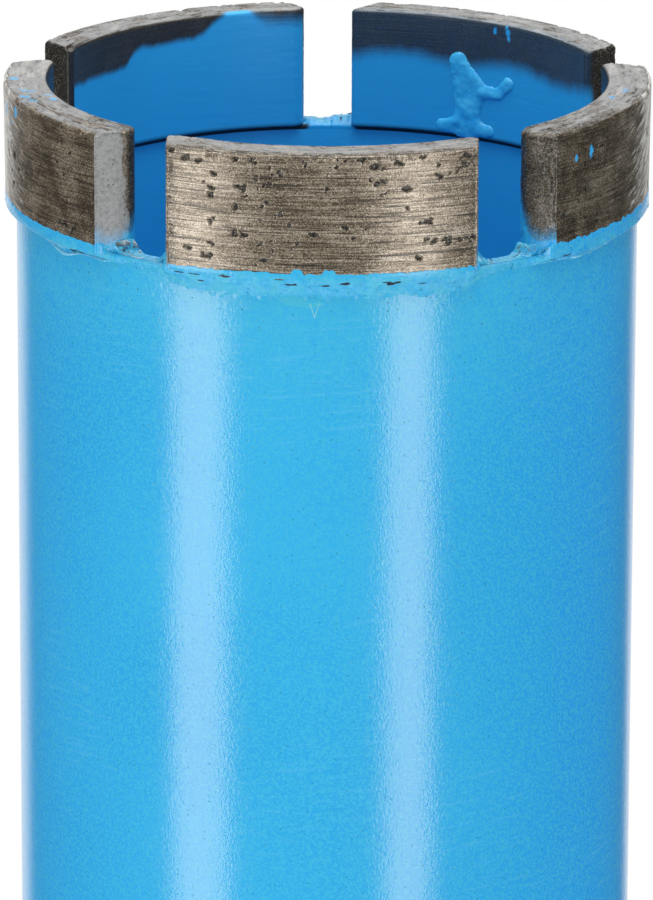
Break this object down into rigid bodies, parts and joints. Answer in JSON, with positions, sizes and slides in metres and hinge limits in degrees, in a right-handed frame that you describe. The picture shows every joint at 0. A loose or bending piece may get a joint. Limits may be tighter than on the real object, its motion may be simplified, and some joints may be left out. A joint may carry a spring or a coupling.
{
  "type": "diamond core bit",
  "caption": "Painted steel core barrel with sintered diamond segments brazed round its open rim and a threaded hexagon hub at the other end.",
  "frame": {"origin": "centre of the hub's seating face, on the bore's axis", "axes": "+Z along the bore from the hub towards the crown; the first segment is centred close to -Y"},
  "size_m": [0.052, 0.0518, 0.3282],
  "materials": {
    "barrel_paint": "gloss enamel on drawn steel tube",
    "hub_paint": "gloss enamel, bare turned steel at the seating face and thread",
    "diamond_matrix": "sintered metal matrix, ground along the cut, pitted",
    "braze_paint": "silver braze under a thin coat of the barrel's enamel"
  },
  "bodies": {
    "root": {"barrel": "barrel_paint", "hub": "hub_paint", "hub_weld": "barrel_paint", "segment_1": "diamond_matrix", "segment_2": "diamond_matrix", "segment_3": "diamond_matrix", "segment_4": "diamond_matrix", "segment_5": "diamond_matrix", "braze_1": "braze_paint", "braze_2": "braze_paint", "braze_3": "braze_paint", "braze_4": "braze_paint", "braze_5": "braze_paint"}
  },
  "joints": []
}
